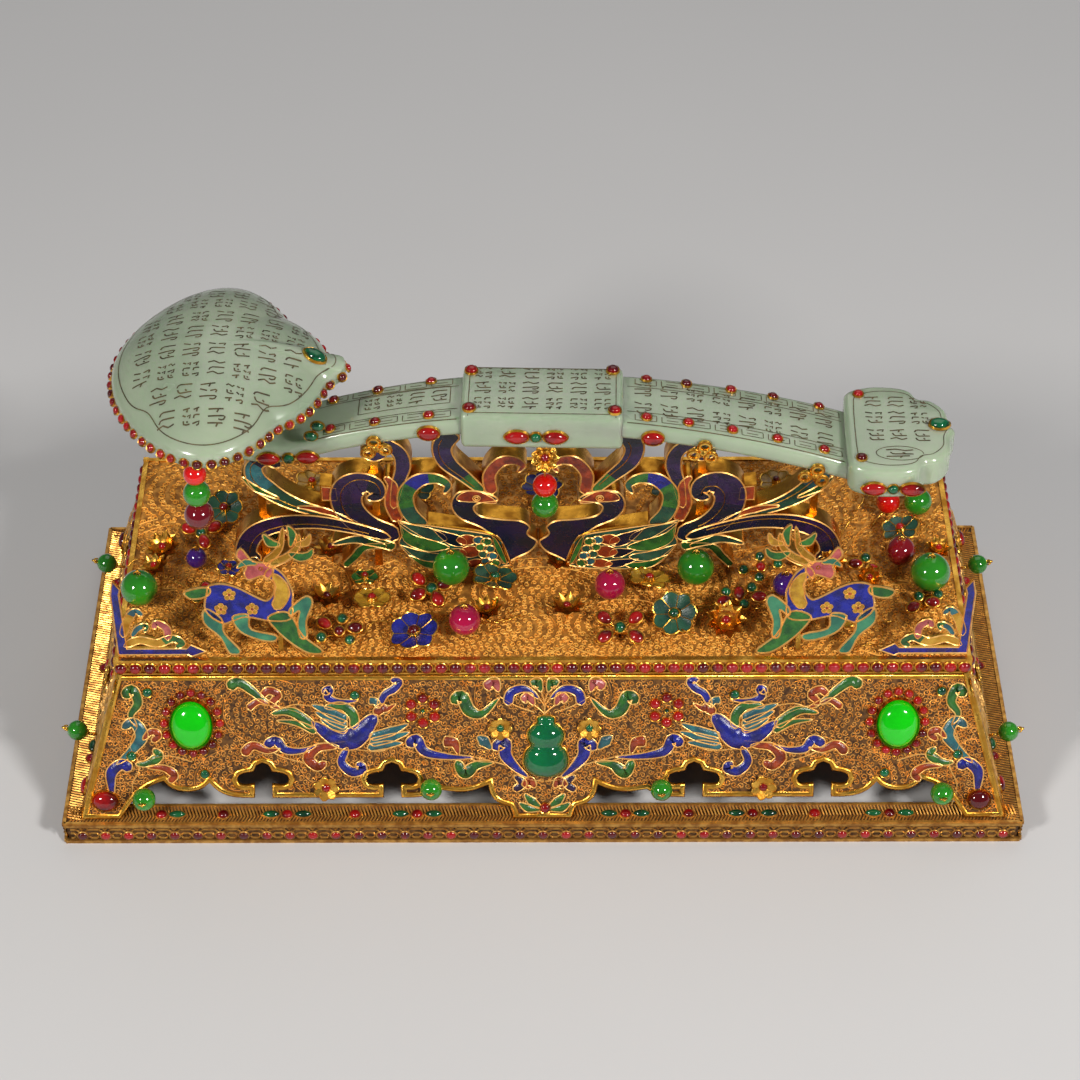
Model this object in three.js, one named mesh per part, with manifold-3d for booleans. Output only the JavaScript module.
// A jade ruyi sceptre resting on its gilt filigree stand.
// Millimetres, +Z up, origin at the middle of the stand's underside, front of the stand towards -Y.
import * as THREE from 'three';
import { mergeVertices } from 'three/addons/utils/BufferGeometryUtils.js';
import Module from 'manifold-3d';

const wasm = await Module();
wasm.setup();

// Driving sizes of the stand.
const BASE_WIDTH = 440;
const BASE_DEPTH = 202;
const BASE_BAND_HEIGHT = 12;
const BASE_RAIL_SIDE = 17;
const BASE_RAIL_FRONT = 9.5;
const BASE_CORNER_RADIUS = 5;
const RIDGE_HEIGHT = 2.5;
const RIDGE_SETBACK_SIDE = 12;
const RIDGE_SETBACK_FRONT = 6;
const RIDGE_TAPER = 3;
const DECK_INSET_SIDE = 28;
const DECK_INSET_FRONT = 32;
const DECK_WIDTH = BASE_WIDTH - 2 * DECK_INSET_SIDE;
const DECK_DEPTH = BASE_DEPTH - 2 * DECK_INSET_FRONT;
const DECK_TOP = 86;
const DECK_THICKNESS = 2.4;
const FASCIA_HEIGHT = 8;
const FASCIA_THICKNESS = 2.6;
const SKIRT_THICKNESS = 1.8;
const SKIRT_INSET_SIDE = 8;
const SKIRT_INSET_FRONT = 3;
const SKIRT_FOOT_WIDTH = BASE_WIDTH - 2 * SKIRT_INSET_SIDE;
const SKIRT_FOOT_DEPTH = BASE_DEPTH - 2 * SKIRT_INSET_FRONT;
const GAP = 0.3;

// Driving sizes of the sceptre in its own frame: U along it to the tail, V across it, W up from the deck.
const SCEPTRE_TURN = THREE.MathUtils.degToRad(-1.5);
const SCEPTRE_Y = -5;
const ARCH_UNDERSIDE = 91.8;
const ARCH_FALL_LEFT = 0.0016;
const ARCH_FALL_RIGHT = 0.00118;
const SHAFT_THICKNESS = 10;
const ARCH_TOP = ARCH_UNDERSIDE + SHAFT_THICKNESS;
const SHAFT_CORNER = 3;
const SHAFT_WIDTH_NECK = 28;
const SHAFT_WIDTH_TAIL = 38;
const SHAFT_NECK_U = -120;
const SHAFT_TAIL_U = 130;
const NECK_UNDERSIDE = [[-150, 102], [-150, 89], [-145, 78], [-133, 71.5]];
const ARCH_STATIONS = [-115, -90, -60, -30, 0, 40, 80, 115, 150];
const BLOCK_LENGTH = 71.6;
const BLOCK_WIDTH = 36;
const BLOCK_EDGE = 1.6;
const BLOCK_CORNER = 2.4;
const BLOCK_BOTTOM = 84.5;
const BLOCK_TOP = 104;
const TAIL_BOTTOM = 69.5;
const TAIL_TOP = 85.5;
const TAIL_HALF_WIDTH = 30;
const TAIL_EDGE = 3;
const TAIL_START_U = 135;
const TAIL_SHOULDER_U = 147;
const TAIL_WAIST_U = 167;
const TAIL_END_U = 179;
const TAIL_POINT_U = 181.5;
const HEAD_CENTRE_U = -142;
const HEAD_UNDERSIDE = 103.5;
const HEAD_RIM_LOW = 106.5;
const HEAD_RIM_HIGH = 112;
const HEAD_TOP = 129.5;
const HEAD_HALF_WIDTH = 60;
const HEAD_HALF_LENGTH = 47;
const HEAD_TIP = 53;
const HEAD_TIP_HALF = 3.5;
const HEAD_LIP_START = 36;
const HEAD_LIP_RISE = 3.5;

// Driving sizes of the openwork screen that carries the sceptre.
const SCREEN_BACK_Y = 0;
const SCREEN_THICKNESS = 10;
const SCREEN_AXIS_X = -2;
const POST_SIZE = 3.4;
const CRADLE_STATIONS = { left: -76, right: 73, tail: 124 };
const CRADLE_WIDTH = 6;
const CRADLE_STRAP = 1.6;
const CRADLE_LOBE = 3.2;

// Driving sizes of the ornaments.
const DEER_THICKNESS = 2.2;
const DEER_LEAN = THREE.MathUtils.degToRad(-20);
const DEER_SETBACK = 2.5;
const DEER_POST_HEIGHT = 18;
const SPANDREL_THICKNESS = 1.6;
const SPANDREL_SETBACK = 2.2;
const PIN_RADIUS = 0.7;
const PIN_HEAD = 3;
const STRING_RADIUS = 0.5;
const SCROLL_STEP = 12.5;

const GOLD = { color: 0xd9982b, roughness: 0.32, metalness: 1.0 };
const DARK_GOLD = { color: 0x9a6420, roughness: 0.45, metalness: 1.0 };
const JADE_PALE = { color: 0xb4c8b2, roughness: 0.25, metalness: 0.0 };
const JADE_GREEN = { color: 0x1f8a2a, roughness: 0.15, metalness: 0.0 };
const JADE_BRIGHT = { color: 0x18c62a, roughness: 0.15, metalness: 0.0 };
const JADE_DEEP = { color: 0x0c7032, roughness: 0.15, metalness: 0.0 };
const STONE_RED = { color: 0xc01218, roughness: 0.12, metalness: 0.0 };
const STONE_PINK = { color: 0xb00a48, roughness: 0.12, metalness: 0.0 };
const STONE_PURPLE = { color: 0x3b1270, roughness: 0.12, metalness: 0.0 };
const STONE_GARNET = { color: 0x7c0a1e, roughness: 0.12, metalness: 0.0 };
const ENAMEL_NAVY = { color: 0x1c1f4a, roughness: 0.28, metalness: 0.1 };
const ENAMEL_COBALT = { color: 0x22269a, roughness: 0.25, metalness: 0.1 };

const part = new THREE.Group();

// A closed geometry as a solid, its shared corners merged.
function solidOf(geometry) {
  const bare = geometry.clone();
  bare.deleteAttribute('normal');
  bare.deleteAttribute('uv');
  const merged = mergeVertices(bare, 1e-3);
  return new wasm.Manifold(new wasm.Mesh({
    numProp: 3,
    vertProperties: merged.attributes.position.array,
    triVerts: new Uint32Array(merged.index.array),
  }));
}

function geometryOf(solid) {
  const { vertProperties, triVerts } = solid.getMesh();
  const geometry = new THREE.BufferGeometry();
  geometry.setAttribute('position', new THREE.BufferAttribute(vertProperties, 3));
  geometry.setIndex(new THREE.BufferAttribute(triVerts, 1));
  return geometry;
}

function joined(geometries) {
  return geometries.map(solidOf).reduce((whole, piece) => whole.add(piece));
}

function addPiece(parent, name, shape, look) {
  const geometry = shape.isBufferGeometry ? shape : geometryOf(shape);
  const mesh = new THREE.Mesh(geometry, new THREE.MeshStandardMaterial(look));
  mesh.name = name;
  parent.add(mesh);
}

function points2(list) {
  return list.map(([x, y]) => new THREE.Vector2(x, y));
}

function points3(list) {
  return list.map(([x, y, z]) => new THREE.Vector3(x, y, z));
}

// Upright plate: the outline's Y becomes Z, its front faces -Y at y = 0 and its back is at y = thickness.
function uprightPlate(shape, thickness) {
  return new THREE.ExtrudeGeometry(shape, { depth: thickness, bevelEnabled: false, curveSegments: 3 })
    .rotateX(Math.PI / 2)
    .translate(0, thickness, 0);
}

// Closed outline that runs smoothly through its points.
function smoothOutline(points, samples) {
  const curve = new THREE.CatmullRomCurve3(points3(points.map(([x, y]) => [x, y, 0])), true);
  const around = curve.getPoints(samples).slice(0, -1);
  return new THREE.Shape(around.map((p) => new THREE.Vector2(p.x, p.y)));
}

// A scroll: a band along a curve, whose half width goes from its first to its middle to its last value.
function scroll(points, first, middle, last) {
  const spine = new THREE.SplineCurve(points2(points));
  const samples = THREE.MathUtils.clamp(Math.round(spine.getLength() / SCROLL_STEP), 3, 8);
  const left = [];
  const right = [];
  for (let i = 0; i <= samples; i += 1) {
    const t = i / samples;
    const half = t < 0.5
      ? THREE.MathUtils.lerp(first, middle, t * 2)
      : THREE.MathUtils.lerp(middle, last, t * 2 - 1);
    const at = spine.getPoint(t);
    const along = spine.getTangent(t);
    left.push(new THREE.Vector2(at.x - along.y * half, at.y + along.x * half));
    right.unshift(new THREE.Vector2(at.x + along.y * half, at.y - along.x * half));
  }
  return new THREE.Shape([...left, ...right]);
}

function roundedRectangle(width, height, radius) {
  const shape = new THREE.Shape();
  const x = width / 2 - radius;
  const y = height / 2 - radius;
  shape.absarc(x, y, radius, 0, Math.PI / 2);
  shape.absarc(-x, y, radius, Math.PI / 2, Math.PI);
  shape.absarc(-x, -y, radius, Math.PI, Math.PI * 1.5);
  shape.absarc(x, -y, radius, Math.PI * 1.5, Math.PI * 2);
  return shape;
}

function standingBox(width, depth, height, x, y, bottom) {
  return new THREE.BoxGeometry(width, depth, height).translate(x, y, bottom + height / 2);
}

// Box whose top is smaller than its foot.
function taperedBox(width, depth, height, topWidth, topDepth, bottom) {
  const box = standingBox(width, depth, height, 0, 0, bottom);
  const position = box.attributes.position;
  for (let i = 0; i < position.count; i += 1) {
    if (position.getZ(i) > bottom + height / 2) {
      position.setX(i, Math.sign(position.getX(i)) * topWidth / 2);
      position.setY(i, Math.sign(position.getY(i)) * topDepth / 2);
    }
  }
  return box;
}

// Base frame: a flat band with rounded corners, and a tapered ridge set in from its edge.
function baseFrame() {
  const ridgeWidth = BASE_WIDTH - 2 * RIDGE_SETBACK_SIDE;
  const ridgeDepth = BASE_DEPTH - 2 * RIDGE_SETBACK_FRONT;
  const innerWidth = BASE_WIDTH - 2 * BASE_RAIL_SIDE;
  const innerDepth = BASE_DEPTH - 2 * BASE_RAIL_FRONT;
  const overlap = 1;
  const band = new THREE.ExtrudeGeometry(
    roundedRectangle(BASE_WIDTH, BASE_DEPTH, BASE_CORNER_RADIUS),
    { depth: BASE_BAND_HEIGHT, bevelEnabled: false, curveSegments: 2 },
  );
  const ridge = taperedBox(
    ridgeWidth,
    ridgeDepth,
    RIDGE_HEIGHT + overlap,
    ridgeWidth - 2 * RIDGE_TAPER,
    ridgeDepth - 2 * RIDGE_TAPER,
    BASE_BAND_HEIGHT - overlap,
  );
  const innerHeight = BASE_BAND_HEIGHT + RIDGE_HEIGHT + 2 * overlap;
  const inside = standingBox(innerWidth, innerDepth, innerHeight, 0, 0, -overlap);
  return joined([band, ridge]).subtract(solidOf(inside));
}

// Deck: a shallow tray turned over, flat on top, with a fascia round its edge.
function deck() {
  const innerWidth = DECK_WIDTH - 2 * FASCIA_THICKNESS;
  const innerDepth = DECK_DEPTH - 2 * FASCIA_THICKNESS;
  const foot = DECK_TOP - FASCIA_HEIGHT;
  const slab = standingBox(DECK_WIDTH, DECK_DEPTH, FASCIA_HEIGHT, 0, 0, foot);
  const hollow = standingBox(innerWidth, innerDepth, FASCIA_HEIGHT, 0, 0, foot - DECK_THICKNESS);
  return solidOf(slab).subtract(solidOf(hollow));
}

// Sloping skirts: each is drawn upright, its foot along X, then leant in against the deck's edge.
const SKIRT_RISE = DECK_TOP - FASCIA_HEIGHT - BASE_BAND_HEIGHT - 2 * GAP;
const FRONT_RUN = (SKIRT_FOOT_DEPTH - DECK_DEPTH) / 2;
const SIDE_RUN = (SKIRT_FOOT_WIDTH - DECK_WIDTH) / 2;
const FRONT_LEAN = Math.atan2(FRONT_RUN, SKIRT_RISE);
const SIDE_LEAN = Math.atan2(SIDE_RUN, SKIRT_RISE);

// Left half of each apron's lower edge: an end point, and the point its curve bends towards.
const LONG_APRON = [
  [-194, 0, -194, 0],
  [-173.4, 19.2, -186, 17],
  [-163, 13.5, -171, 14],
  [-152.6, 18.2, -155, 14],
  [-138, 10.5, -148, 10.5],
  [-60, 10.5, -100, 10.5],
  [-47.6, 14.5, -52, 10.5],
  [-24.7, 17.2, -34, 10.5],
  [-15, 6, -25, 7],
  [-13, 0, -13, 3],
];
const SHORT_APRON = [
  [-82, 0, -82, 0],
  [-66, 18, -76, 17],
  [-56, 13.5, -64, 14],
  [-46, 17, -48, 14],
  [-34, 10.5, -42, 10.5],
  [-12, 10.5, -20, 10.5],
  [-6, 12.5, -8, 10.5],
];
const LONG_CLOUDS = [-128, -69, 69, 128];
const SHORT_CLOUDS = [-23, 23];
const CLOUD_TOP = 28;
const CLOUD_LOBE = 4.4;

// Cloud-shaped opening: three round lobes over a neck that runs down into the open slot under the apron.
function cloudCutter(x) {
  const side = CLOUD_LOBE * 0.82;
  const reach = CLOUD_LOBE * 2;
  const low = CLOUD_TOP - CLOUD_LOBE * 2;
  const shape = new THREE.Shape();
  shape.moveTo(-CLOUD_LOBE, 0);
  shape.lineTo(CLOUD_LOBE, 0);
  shape.lineTo(CLOUD_LOBE, low - side * 0.8);
  shape.absarc(reach, low, side, -Math.PI / 2, Math.PI / 2);
  shape.absarc(0, CLOUD_TOP - CLOUD_LOBE, CLOUD_LOBE, 0, Math.PI);
  shape.absarc(-reach, low, side, Math.PI / 2, Math.PI * 1.5);
  shape.lineTo(-CLOUD_LOBE, low - side * 0.8);
  const deep = SKIRT_THICKNESS * 3;
  return solidOf(new THREE.ExtrudeGeometry(shape, { depth: deep, bevelEnabled: false, curveSegments: 2 })
    .rotateX(Math.PI / 2)
    .translate(x, deep - SKIRT_THICKNESS, 0));
}

// Next stretch of an edge: straight where both of its ends and its bend are level, otherwise curved.
function addBend(shape, x, y, bendX, bendY) {
  const level = shape.currentPoint.y === y && bendY === y;
  if (level) shape.lineTo(x, y);
  else shape.quadraticCurveTo(bendX, bendY, x, y);
}

function skirt(footHalf, topHalf, slope, apron, clouds) {
  const shape = new THREE.Shape();
  shape.moveTo(-footHalf, 0);
  apron.forEach(([x, y, bendX, bendY]) => addBend(shape, x, y, bendX, bendY));
  const backwards = [...apron].reverse();
  shape.lineTo(-backwards[0][0], backwards[0][1]);
  backwards.slice(0, -1).forEach(([, , bendX, bendY], i) => {
    const [x, y] = backwards[i + 1];
    addBend(shape, -x, y, -bendX, bendY);
  });
  shape.lineTo(footHalf, 0);
  shape.lineTo(topHalf, slope);
  shape.lineTo(-topHalf, slope);
  const sheet = solidOf(uprightPlate(shape, SKIRT_THICKNESS));
  return clouds.reduce((rest, x) => rest.subtract(cloudCutter(x)), sheet);
}

// The frame of a skirt's outer face: local X along its foot, local Z up its slope, local -Y outwards.
function skirtFrame(lean, footDistance, turn) {
  const facing = new THREE.Group();
  facing.rotation.z = turn;
  const leaning = new THREE.Group();
  leaning.position.set(0, -footDistance, BASE_BAND_HEIGHT + GAP + SKIRT_THICKNESS * Math.sin(lean));
  leaning.rotation.x = -lean;
  facing.add(leaning);
  part.add(facing);
  return leaning;
}

const frontSlope = SKIRT_RISE / Math.cos(FRONT_LEAN) - SKIRT_THICKNESS;
const sideSlope = SKIRT_RISE / Math.cos(SIDE_LEAN) - SKIRT_THICKNESS;
const sideInset = SKIRT_THICKNESS / Math.cos(FRONT_LEAN) + GAP * 2;
const frontFace = skirtFrame(FRONT_LEAN, SKIRT_FOOT_DEPTH / 2, 0);
const backFace = skirtFrame(FRONT_LEAN, SKIRT_FOOT_DEPTH / 2, Math.PI);
const leftFace = skirtFrame(SIDE_LEAN, SKIRT_FOOT_WIDTH / 2, -Math.PI / 2);
const rightFace = skirtFrame(SIDE_LEAN, SKIRT_FOOT_WIDTH / 2, Math.PI / 2);
const longSkirt = () => skirt(SKIRT_FOOT_WIDTH / 2, DECK_WIDTH / 2, frontSlope, LONG_APRON, LONG_CLOUDS);
const shortSkirt = () => skirt(
  SKIRT_FOOT_DEPTH / 2 - sideInset,
  DECK_DEPTH / 2 - sideInset,
  sideSlope,
  SHORT_APRON,
  SHORT_CLOUDS,
);
addPiece(part, 'base_frame', baseFrame(), GOLD);
addPiece(part, 'deck', deck(), DARK_GOLD);
addPiece(frontFace, 'skirt_front', longSkirt(), DARK_GOLD);
addPiece(backFace, 'skirt_back', longSkirt(), DARK_GOLD);
addPiece(leftFace, 'skirt_left', shortSkirt(), DARK_GOLD);
addPiece(rightFace, 'skirt_right', shortSkirt(), DARK_GOLD);

// The sceptre's own frame.
const sceptreFrame = new THREE.Group();
sceptreFrame.position.set(0, SCEPTRE_Y, DECK_TOP);
sceptreFrame.rotation.z = SCEPTRE_TURN;
part.add(sceptreFrame);

function archTop(u) {
  return ARCH_TOP - (u < 0 ? ARCH_FALL_LEFT : ARCH_FALL_RIGHT) * u * u;
}

function archSlope(u) {
  return Math.atan(-2 * (u < 0 ? ARCH_FALL_LEFT : ARCH_FALL_RIGHT) * u);
}

function shaftHalfWidth(u) {
  const share = THREE.MathUtils.clamp((u - SHAFT_NECK_U) / (SHAFT_TAIL_U - SHAFT_NECK_U), 0, 1);
  return THREE.MathUtils.lerp(SHAFT_WIDTH_NECK, SHAFT_WIDTH_TAIL, share) / 2;
}

// Shaft: a rounded bar that runs down from the head's underside, through the neck and along the arch.
function shaft(grow) {
  const arch = ARCH_STATIONS.map((u) => [u, archTop(u) - SHAFT_THICKNESS]);
  const middle = [...NECK_UNDERSIDE, ...arch].map(([u, w]) => [u, 0, w + SHAFT_THICKNESS / 2]);
  const path = new THREE.CatmullRomCurve3(points3(middle));
  const section = roundedRectangle(
    SHAFT_WIDTH_NECK + 2 * grow,
    SHAFT_THICKNESS + 2 * grow,
    SHAFT_CORNER + grow,
  );
  const bar = new THREE.ExtrudeGeometry(section, {
    steps: 20,
    curveSegments: 1,
    bevelEnabled: false,
    extrudePath: path,
  });
  const position = bar.attributes.position;
  for (let i = 0; i < position.count; i += 1) {
    const wide = shaftHalfWidth(position.getX(i)) + grow;
    position.setY(i, position.getY(i) * wide / (SHAFT_WIDTH_NECK / 2 + grow));
  }
  return bar;
}

// Middle block: a raised rectangular length with softened edges.
function block(grow) {
  const height = BLOCK_TOP - BLOCK_BOTTOM;
  const section = roundedRectangle(
    BLOCK_WIDTH - 2 * BLOCK_EDGE + 2 * grow,
    height - 2 * BLOCK_EDGE + 2 * grow,
    BLOCK_CORNER,
  );
  return new THREE.ExtrudeGeometry(section, {
    depth: BLOCK_LENGTH - 2 * BLOCK_EDGE,
    bevelThickness: BLOCK_EDGE,
    bevelSize: BLOCK_EDGE,
    bevelSegments: 2,
    curveSegments: 1,
  })
    .translate(0, 0, -BLOCK_LENGTH / 2 + BLOCK_EDGE)
    .rotateX(Math.PI / 2)
    .rotateZ(Math.PI / 2)
    .translate(0, 0, BLOCK_BOTTOM + height / 2);
}

// Tail plate: a small cloud with a point at its end and a softened edge.
function tail() {
  const width = TAIL_HALF_WIDTH - TAIL_EDGE;
  const waist = width - 7;
  const pointHalf = 6;
  const bend = TAIL_START_U + 1;
  const shape = new THREE.Shape();
  shape.moveTo(TAIL_START_U, 0);
  shape.lineTo(bend, -width + 10);
  shape.quadraticCurveTo(bend, -width, TAIL_SHOULDER_U, -width);
  shape.quadraticCurveTo(TAIL_WAIST_U - 5, -width, TAIL_WAIST_U, -waist);
  shape.quadraticCurveTo(TAIL_END_U, -waist, TAIL_END_U, -pointHalf);
  shape.lineTo(TAIL_POINT_U, 0);
  shape.lineTo(TAIL_END_U, pointHalf);
  shape.quadraticCurveTo(TAIL_END_U, waist, TAIL_WAIST_U, waist);
  shape.quadraticCurveTo(TAIL_WAIST_U - 5, width, TAIL_SHOULDER_U, width);
  shape.quadraticCurveTo(bend, width, bend, width - 10);
  return new THREE.ExtrudeGeometry(shape, {
    depth: TAIL_TOP - TAIL_BOTTOM - 2 * TAIL_EDGE,
    bevelThickness: TAIL_EDGE,
    bevelSize: TAIL_EDGE,
    bevelSegments: 2,
    curveSegments: 2,
  }).translate(0, 0, TAIL_BOTTOM + TAIL_EDGE);
}

// Points along a bowed line, without its last point: bulge is how far its middle stands out to the right.
function bowed([ax, ay], [bx, by], bulge, count) {
  const long = Math.hypot(bx - ax, by - ay);
  const bend = new THREE.Vector2(
    (ax + bx) / 2 + 2 * bulge * (by - ay) / long,
    (ay + by) / 2 - 2 * bulge * (bx - ax) / long,
  );
  const curve = new THREE.QuadraticBezierCurve(new THREE.Vector2(ax, ay), bend, new THREE.Vector2(bx, by));
  return curve.getPoints(count).slice(0, -1);
}

// Head in plan, about its own centre: a far lobe, two side lobes, and a tip over the shaft.
function headOutline() {
  const tip = [HEAD_TIP, HEAD_TIP_HALF];
  const snout = [HEAD_TIP - 7, 9];
  const nearCusp = [28, 39];
  const farCusp = [-30, 46];
  const flip = ([x, y]) => [x, -y];
  const sideBulge = HEAD_HALF_WIDTH - (nearCusp[1] + farCusp[1]) / 2;
  const farBulge = HEAD_HALF_LENGTH + farCusp[0];
  const tipBulge = 1.5;
  const snoutBulge = -1;
  const shoulderBulge = 3.5;
  return [
    ...bowed(flip(tip), tip, tipBulge, 2),
    ...bowed(tip, snout, snoutBulge, 1),
    ...bowed(snout, nearCusp, shoulderBulge, 4),
    ...bowed(nearCusp, farCusp, sideBulge, 9),
    ...bowed(farCusp, flip(farCusp), farBulge, 10),
    ...bowed(flip(farCusp), flip(nearCusp), sideBulge, 9),
    ...bowed(flip(nearCusp), flip(snout), shoulderBulge, 4),
    ...bowed(flip(snout), flip(tip), snoutBulge, 1),
  ];
}

// Head: a dome over the plan outline, as rings of the outline drawn in towards its centre.
function headDome() {
  const outline = headOutline();
  const rings = [0.97, 0.89, 0.74, 0.54, 0.3, 0];
  const dome = rings.map((share) => {
    const rise = (HEAD_TOP - HEAD_RIM_HIGH) * (1 - share ** 2.2) ** 0.75;
    return new THREE.Vector2(share, HEAD_RIM_HIGH + rise);
  });
  const under = [
    new THREE.Vector2(0, HEAD_UNDERSIDE),
    new THREE.Vector2(0.94, HEAD_RIM_LOW - 0.8),
    new THREE.Vector2(1, HEAD_RIM_LOW),
    new THREE.Vector2(1, HEAD_RIM_HIGH),
  ];
  const profile = [...under, ...dome];
  const body = new THREE.LatheGeometry(profile, outline.length);
  const position = body.attributes.position;
  for (let i = 0; i < position.count; i += 1) {
    const spoke = Math.floor(i / profile.length) % outline.length;
    const { x: share, y: height } = profile[i % profile.length];
    const at = outline[spoke];
    const nearTip = THREE.MathUtils.clamp((at.x - HEAD_LIP_START) / (HEAD_TIP - HEAD_LIP_START), 0, 1);
    const lip = HEAD_LIP_RISE * nearTip ** 2 * share ** 6;
    position.setXYZ(i, HEAD_CENTRE_U + at.x * share, at.y * share, height + lip);
  }
  return body;
}

addPiece(sceptreFrame, 'sceptre', joined([shaft(0), block(0), tail(), headDome()]), JADE_PALE);

// Three-lobed clip, seen from the front, about the middle of the shaft's lower edge.
function cloverShape() {
  const clover = new THREE.Shape();
  const spread = 3.8;
  const lowLobes = -1.8;
  const highLobe = 3.6;
  const stalkHalf = 1.5;
  const stalkEnd = -CRADLE_LOBE - 1;
  clover.moveTo(-stalkHalf, stalkEnd);
  clover.lineTo(stalkHalf, stalkEnd);
  clover.absarc(spread, lowLobes, CRADLE_LOBE, -Math.PI / 2, Math.PI / 2);
  clover.absarc(0, highLobe, CRADLE_LOBE, -Math.PI / 6, Math.PI * 7 / 6);
  clover.absarc(-spread, lowLobes, CRADLE_LOBE, Math.PI / 2, Math.PI * 3 / 2);
  return clover;
}

// Cradles: a strap under the shaft, with a clip turned up at its front and another at its back.
function cradleParts(u, grow) {
  const half = shaftHalfWidth(u) + GAP;
  const strap = new THREE.BoxGeometry(
    CRADLE_WIDTH + 2 * grow,
    2 * (half + CRADLE_STRAP),
    CRADLE_STRAP + 2 * grow,
  ).translate(0, 0, -SHAFT_THICKNESS - 2 * GAP - CRADLE_STRAP / 2);
  const clip = (y) => uprightPlate(cloverShape(), CRADLE_STRAP).translate(0, y, -SHAFT_THICKNESS);
  const pieces = grow > 0 ? [strap] : [strap, clip(half), clip(-half - CRADLE_STRAP)];
  return pieces.map((piece) => piece.rotateY(-archSlope(u)).translate(u, 0, archTop(u)));
}

Object.entries(CRADLE_STATIONS).forEach(([name, u]) => {
  addPiece(sceptreFrame, `cradle_${name}`, joined(cradleParts(u, 0)), GOLD);
});

// Room that the sceptre and its cradles take, with a gap round it, in the stand's frame.
function sceptreRoom() {
  const pieces = [
    shaft(GAP),
    block(GAP),
    ...Object.values(CRADLE_STATIONS).flatMap((u) => cradleParts(u, GAP)),
  ];
  return joined(pieces.map((piece) => piece.rotateZ(SCEPTRE_TURN).translate(0, SCEPTRE_Y, DECK_TOP)));
}

// Screen halves: one bird each, out from the axis and up from the deck, every scroll a band of the plate.
const BIRD_BODY = [
  [18, 43], [21, 47], [29, 49.5], [37, 48], [40, 40], [36, 32], [26, 26], [20, 18], [17, 4], [9, 8],
  [3, 12], [0.15, 18], [4.5, 22.5], [3.5, 27], [8, 31], [17, 32], [26, 34], [29, 38.5], [26, 41.5],
];
const BIRD_WING = [
  [25, 27], [51, 28], [62, 26], [72, 19], [65, 12], [57, 6], [48, 3], [40, 1.5], [30, 0.5], [18, 5],
];
const BIRD_SCROLLS = [
  { points: [[21, 47], [22, 58], [17, 66], [11, 67], [7, 64], [9, 60]], widths: [3.4, 3.2, 1.2] },
  { points: [[25, 48], [33, 57], [41, 66], [43, 75], [38, 84]], widths: [2.6, 4.6, 5.2] },
  { points: [[52, 26], [59, 36], [60, 47], [54, 55], [46, 56], [41, 52], [43, 47]], widths: [4.2, 4.2, 1.4] },
  {
    points: [[64, 20], [78, 27], [86, 37], [87, 47], [82, 53], [75, 52], [73, 46], [78, 44]],
    widths: [6.5, 8, 2],
  },
  { points: [[64, 30], [67, 40], [66, 51], [69, 57]], widths: [3, 3.4, 1.6] },
  { points: [[66, 38], [64, 51], [61, 63], [63, 72], [72, 79]], widths: [2.2, 4, 3.4] },
  {
    points: [[80, 26], [92, 33], [108, 39], [119, 46], [127, 55], [128, 63], [122, 67], [116, 63]],
    widths: [2, 5.4, 3],
  },
  {
    points: [[68, 20], [84, 26], [102, 30], [118, 29], [130, 23], [135, 12], [131, 4]],
    widths: [3, 5, 5.6],
  },
  { points: [[133, 8], [129, 3], [121, 5], [113, 11], [111, 18], [116, 24]], widths: [3, 2.4, 1.6] },
  { points: [[66, 14], [74, 17], [84, 19], [95, 16]], widths: [3, 3.4, 1.4] },
  { points: [[70, 15], [80, 14], [85, 8], [90, 2]], widths: [2, 2.6, 2.2] },
];
const SCREEN_POSTS = [
  { out: 74, top: 84 },
  { out: 126, top: 60 },
];

function screenHalf(side, room) {
  const place = ([out, up]) => [side * out, up];
  const shapes = [
    smoothOutline(BIRD_BODY.map(place), 24),
    new THREE.Shape(points2(BIRD_WING.map(place))),
    ...BIRD_SCROLLS.map(({ points, widths }) => scroll(points.map(place), ...widths)),
  ];
  const plates = shapes.map((shape) => uprightPlate(shape, SCREEN_THICKNESS)
    .translate(SCREEN_AXIS_X, SCREEN_BACK_Y - SCREEN_THICKNESS, DECK_TOP + GAP));
  const posts = SCREEN_POSTS.map(({ out, top }) => standingBox(
    POST_SIZE,
    POST_SIZE,
    top,
    SCREEN_AXIS_X + side * out,
    SCREEN_BACK_Y - SCREEN_THICKNESS / 2,
    DECK_TOP + GAP,
  ));
  const below = standingBox(BASE_WIDTH, BASE_DEPTH, DECK_TOP + GAP, 0, 0, 0);
  return joined([...plates, ...posts]).subtract(room).subtract(solidOf(below));
}

const room = sceptreRoom();
addPiece(part, 'phoenix_left', screenHalf(-1, room), ENAMEL_NAVY);
addPiece(part, 'phoenix_right', screenHalf(1, room), ENAMEL_NAVY);

// Deer: a flat plate cut to its outline, leaning back a little on a short post.
const DEER_OUTLINES = [
  [
    [32, 27], [31, 30], [25, 31], [18, 29], [9, 24], [5, 23], [2, 27], [2, 32], [6, 35], [3, 39], [-2, 36],
    [-6, 28], [-6, 22], [-5, 14], [4, 13], [15, 15], [21, 13], [26, 12], [33, 18],
  ],
  [[-4, 17], [-10, 6], [-19, -2], [-13, -3], [-5, 2], [2, 9], [5, 15]],
  [[-5, 19], [-12, 25], [-15, 22], [-12, 13], [-12, 5], [-9, 5], [-8, 12], [-9, 18], [-5, 15]],
  [[14, 16], [13, 9], [2, 6], [3, 3], [10, 4], [18, 8], [21, 15]],
  [[26, 14], [25, 7], [18, -2], [23, -3], [27, 5], [34, 12], [33, 19]],
  [[31, 29], [36, 29], [42, 27], [40, 24], [35, 24], [31, 26]],
  [[2, 37], [4, 41], [11, 42], [16, 48], [18, 44], [14, 40], [15, 36], [13, 33], [7, 35], [5, 33]],
];
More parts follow.
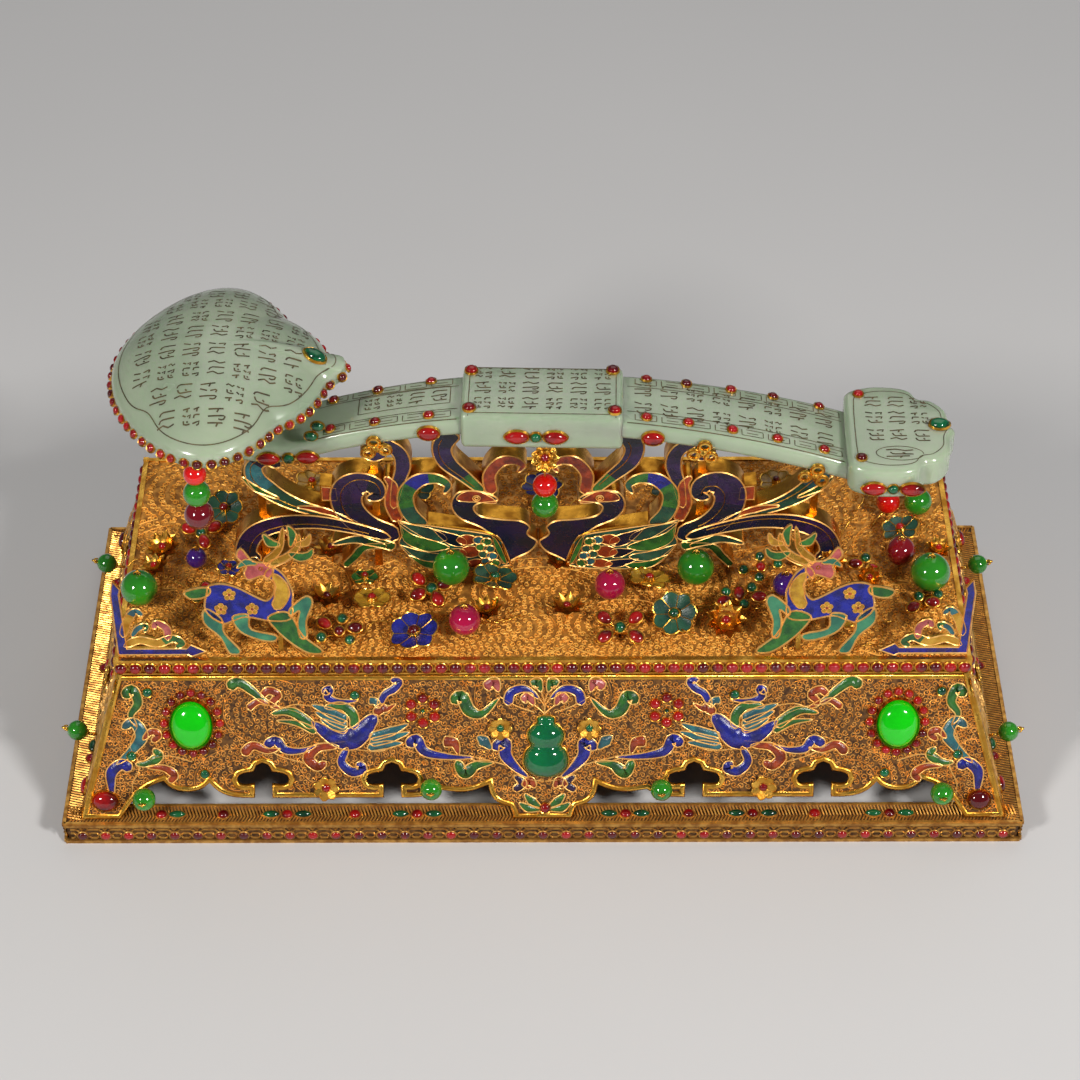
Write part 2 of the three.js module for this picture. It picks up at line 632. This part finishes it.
const DEER_ANTLERS = [
  { points: [[5, 40], [-4, 44], [-9, 49], [-10, 55]], widths: [1.8, 1.8, 1] },
  { points: [[6, 41], [-1, 48], [-3, 58]], widths: [2, 1.8, 1] },
];

function deer(side) {
  const hoofDrop = 4;
  const place = ([x, y]) => [side * x, y + hoofDrop];
  const outlines = DEER_OUTLINES.map((points) => new THREE.Shape(points2(points.map(place))));
  const antlers = DEER_ANTLERS.map(({ points, widths }) => scroll(points.map(place), ...widths));
  const plates = [...outlines, ...antlers].map((shape) => uprightPlate(shape, DEER_THICKNESS));
  const post = standingBox(DEER_THICKNESS, DEER_THICKNESS, DEER_POST_HEIGHT, 0, DEER_THICKNESS * 1.5, 1);
  return joined([...plates, post]);
}

[['left', -1, -118], ['right', 1, 115]].forEach(([name, side, x]) => {
  const stance = new THREE.Group();
  stance.position.set(x, DEER_SETBACK - DECK_DEPTH / 2, DECK_TOP + GAP * 2);
  stance.rotation.x = DEER_LEAN;
  part.add(stance);
  addPiece(stance, `deer_${name}`, deer(side), ENAMEL_COBALT);
});

// Corner spandrels: an upright angle with an arrow at each end and scrolls in its corner.
const SPANDREL_ANGLE = [
  [1, 1], [1, 38], [2.6, 46], [5.4, 41], [4.6, 38], [5, 4.6], [32, 4.6], [34, 7], [40.5, 3], [34, -0.2],
  [32, 1],
];
const SPANDREL_SCROLLS = [
  { points: [[4, 6], [11, 10], [19, 8], [26, 11], [30, 8], [27, 5]], widths: [2, 2.4, 1.4] },
  { points: [[4, 12], [7, 22], [11, 28], [14, 25]], widths: [2, 1.9, 1.2] },
  { points: [[24, 10], [24, 17], [20, 20.5], [18, 17]], widths: [1.5, 2, 1.2] },
];

[['left', 1], ['right', -1]].forEach(([name, side]) => {
  const place = ([x, y]) => [side * (x - DECK_WIDTH / 2), y];
  const shapes = [
    new THREE.Shape(points2(SPANDREL_ANGLE.map(place))),
    ...SPANDREL_SCROLLS.map(({ points, widths }) => scroll(points.map(place), ...widths)),
  ];
  const plates = shapes.map((shape) => uprightPlate(shape, SPANDREL_THICKNESS)
    .translate(0, SPANDREL_SETBACK - DECK_DEPTH / 2, DECK_TOP + GAP * 2));
  addPiece(part, `spandrel_${name}`, joined(plates), ENAMEL_COBALT);
});

// Half outline of a bead, from its lower hole to its upper one.
function beadArc(radius, height, hole) {
  const rings = radius > LARGE_BEAD ? 4 : 3;
  const start = Math.acos(hole / radius);
  return Array.from({ length: rings + 1 }, (_, i) => {
    const turn = THREE.MathUtils.lerp(-start, start, i / rings);
    return new THREE.Vector2(radius * Math.cos(turn), height + radius * Math.sin(turn));
  });
}

// Beads larger than this radius are drawn with more faces.
const LARGE_BEAD = 6;

// Beads on one wire along Z, which runs from one height to another: turned as one body about the wire.
function beadsOnWire(wireRadius, from, to, beads) {
  const profile = [
    new THREE.Vector2(0, from),
    new THREE.Vector2(wireRadius, from),
    ...beads.flatMap(({ radius, height }) => beadArc(radius, height, wireRadius)),
    new THREE.Vector2(wireRadius, to),
    new THREE.Vector2(0, to),
  ];
  const sides = beads.some(({ radius }) => radius > LARGE_BEAD) ? 8 : 6;
  return new THREE.LatheGeometry(profile, sides).rotateX(Math.PI / 2);
}

// Beads that stand on the deck on wires: place, height of the middle above the deck, and radius.
const DECK_BEADS = [
  { name: 'bead_green_left', x: -184, y: -33.7, up: 11.7, radius: 8.4, look: JADE_GREEN },
  { name: 'bead_purple_left', x: -160.2, y: -9.6, up: 8, radius: 4.9, look: STONE_PURPLE },
  { name: 'bead_green_inner_left', x: -42.1, y: -20.4, up: 11.7, radius: 8.5, look: JADE_GREEN },
  { name: 'bead_pink_left', x: -35.3, y: -53.8, up: 10.5, radius: 7.2, look: STONE_PINK },
  { name: 'bead_pink_right', x: 30.8, y: -30.6, up: 10.3, radius: 7.1, look: STONE_PINK },
  { name: 'bead_green_inner_right', x: 70.4, y: -20.4, up: 11.7, radius: 8.5, look: JADE_GREEN },
  { name: 'bead_purple_right', x: 111.1, y: -29.2, up: 9, radius: 5.7, look: STONE_PURPLE },
  { name: 'bead_garnet_right', x: 166, y: -8, up: 10, radius: 6.9, look: STONE_GARNET },
  { name: 'bead_green_right', x: 177.8, y: -24.9, up: 12.3, radius: 9.1, look: JADE_GREEN },
  { name: 'bead_green_tail', x: 177.5, y: 27, up: 9.5, radius: 6.5, look: JADE_GREEN },
  { name: 'bead_red_tail', x: 163.5, y: 28, up: 8.6, radius: 5.7, look: STONE_RED },
];

DECK_BEADS.forEach(({ name, x, y, up, radius, look }) => {
  const bead = beadsOnWire(PIN_RADIUS, GAP, up + radius + PIN_HEAD, [{ radius, height: up }]);
  addPiece(part, name, bead.translate(x, y, DECK_TOP), look);
});

// Beads on pins that stand straight out of a skirt: place along its foot, up its slope, and distance out.
const PIN_BEADS = [
  { name: 'pin_bead_front_1', face: frontFace, along: -182, up: 12, out: 6.3, radius: 5.3, look: JADE_GREEN },
  { name: 'pin_bead_front_2', face: frontFace, along: -51, up: 16.5, out: 6, radius: 5, look: JADE_GREEN },
  { name: 'pin_bead_front_3', face: frontFace, along: 54, up: 16, out: 6, radius: 5, look: JADE_GREEN },
  { name: 'pin_bead_front_4', face: frontFace, along: 182, up: 14, out: 6.3, radius: 5.3, look: JADE_GREEN },
  { name: 'pin_bead_back_1', face: backFace, along: -182, up: 14, out: 6.3, radius: 5.3, look: JADE_GREEN },
  { name: 'pin_bead_back_2', face: backFace, along: 182, up: 12, out: 6.3, radius: 5.3, look: JADE_GREEN },
  { name: 'pin_bead_left_1', face: leftFace, along: 65, up: 22, out: 10, radius: 4.7, look: JADE_GREEN },
  { name: 'pin_bead_left_2', face: leftFace, along: -32, up: 38, out: 10, radius: 4.7, look: JADE_GREEN },
  { name: 'pin_bead_right_1', face: rightFace, along: -67, up: 22, out: 10, radius: 4.7, look: JADE_GREEN },
  { name: 'pin_bead_right_2', face: rightFace, along: 30, up: 38, out: 10, radius: 4.7, look: JADE_GREEN },
];

PIN_BEADS.forEach(({ name, face, along, up, out, radius, look }) => {
  const bead = beadsOnWire(PIN_RADIUS, GAP, out + radius + PIN_HEAD, [{ radius, height: out }])
    .rotateX(Math.PI / 2)
    .translate(along, 0, up);
  addPiece(face, name, bead, look);
});

// Strings of beads that hang from the sceptre, in contact on one wire; heights are above the deck.
const HEAD_STRING = [
  { radius: 6.5, height: 74.6 },
  { radius: 6, height: 87 },
  { radius: 5, height: 98 },
];
const BLOCK_STRING = [
  { radius: 6.2, height: 49.8 },
  { radius: 5.5, height: 61.4 },
  { radius: 4.6, height: BLOCK_BOTTOM - GAP - 4.6 },
];
const STRING_END = 1.2;

function beadString(x, y, top, beads) {
  const [lowest] = beads;
  const bottom = lowest.height - lowest.radius - STRING_END;
  return beadsOnWire(STRING_RADIUS, bottom, top, beads).translate(x, y, DECK_TOP);
}

addPiece(part, 'bead_string_head', beadString(-150, -54, HEAD_UNDERSIDE + 1.2, HEAD_STRING), STONE_RED);
addPiece(part, 'bead_string_block', beadString(1, -20, BLOCK_BOTTOM - GAP, BLOCK_STRING), JADE_GREEN);

// Polished domed stone, its flat back on the skirt's face.
function cabochon(halfWidth, halfHeight, depth) {
  const profile = [new THREE.Vector2(0, 0)];
  const rings = 3;
  for (let i = 0; i <= rings; i += 1) {
    const turn = (i / rings) * Math.PI / 2;
    profile.push(new THREE.Vector2(i === rings ? 0 : Math.cos(turn), Math.sin(turn)));
  }
  return new THREE.LatheGeometry(profile, 12)
    .scale(halfWidth, depth, halfHeight)
    .rotateX(Math.PI);
}

// Gourd: two round swellings and a collar, half sunk in the skirt's face.
function gourd(height, halfWidth, depth) {
  const shares = [[0, 0], [0.55, 0.02], [0.93, 0.14], [1, 0.28], [0.88, 0.43], [0.68, 0.51], [0.86, 0.62],
    [0.82, 0.74], [0.55, 0.84], [0.4, 0.88], [0.38, 0.97], [0, 1]];
  const whole = new THREE.LatheGeometry(points2(shares), 12)
    .scale(halfWidth, height, depth)
    .rotateX(Math.PI / 2);
  const behind = new THREE.BoxGeometry(halfWidth * 4, depth * 4, height * 3)
    .translate(0, depth * 2, height / 2);
  return solidOf(whole).subtract(solidOf(behind));
}

// Cabochons and the gourd on the front skirt: place along its foot and up its slope, and half sizes.
const CABOCHONS = [
  { name: 'cabochon_oval_left', x: -159.5, up: 47, size: [9.2, 11.4, 6], look: JADE_BRIGHT },
  { name: 'cabochon_oval_right', x: 161, up: 47, size: [9.2, 11.4, 6], look: JADE_BRIGHT },
  { name: 'cabochon_corner_left', x: -200.4, up: 8.6, size: [5.6, 4.6, 3.4], look: STONE_RED },
  { name: 'cabochon_corner_right', x: 199.8, up: 9.4, size: [4.8, 4.4, 3.4], look: STONE_RED },
];
const GOURD = { x: 1.3, up: 20.8, height: 29.6, halfWidth: 10, depth: 6.5 };

CABOCHONS.forEach(({ name, x, up, size, look }) => {
  addPiece(frontFace, name, cabochon(...size).translate(x, -GAP, up), look);
});
const gourdShape = gourd(GOURD.height, GOURD.halfWidth, GOURD.depth).translate([GOURD.x, -GAP, GOURD.up]);
addPiece(frontFace, 'gourd', gourdShape, JADE_DEEP);

// Blossoms on short stems: a ring of petals round a boss.
const BLOSSOMS = [
  { name: 'blossom_blue', x: -58, y: -57, radius: 11, petals: 6 },
  { name: 'blossom_dark', x: -22, y: -22, radius: 10, petals: 6 },
  { name: 'blossom_pale', x: 49, y: -23, radius: 9, petals: 6 },
  { name: 'blossom_green', x: 60, y: -46, radius: 11, petals: 6 },
  { name: 'blossom_gold', x: 83, y: -50, radius: 9, petals: 6 },
];
const BLOSSOM_UP = 5;
const BLOSSOM_THICKNESS = 1.2;
const PETAL_NOTCH = 0.78;

function blossom(radius, petals) {
  const steps = petals * 2;
  const outline = Array.from({ length: steps }, (_, i) => {
    const angle = (i / steps) * Math.PI * 2;
    const reach = i % 2 === 0 ? radius * PETAL_NOTCH : radius;
    return new THREE.Vector2(reach * Math.cos(angle), reach * Math.sin(angle));
  });
  const disc = new THREE.ExtrudeGeometry(new THREE.Shape(outline), {
    depth: BLOSSOM_THICKNESS,
    bevelEnabled: false,
  }).translate(0, 0, BLOSSOM_UP);
  const height = BLOSSOM_UP + BLOSSOM_THICKNESS * 2 - GAP;
  const stem = new THREE.CylinderGeometry(BLOSSOM_THICKNESS, PIN_RADIUS, height, 5)
    .rotateX(Math.PI / 2)
    .translate(0, 0, GAP + height / 2);
  return joined([disc, stem]);
}

BLOSSOMS.forEach(({ name, x, y, radius, petals }) => {
  addPiece(part, name, geometryOf(blossom(radius, petals)).translate(x, y, DECK_TOP), GOLD);
});

export default part;
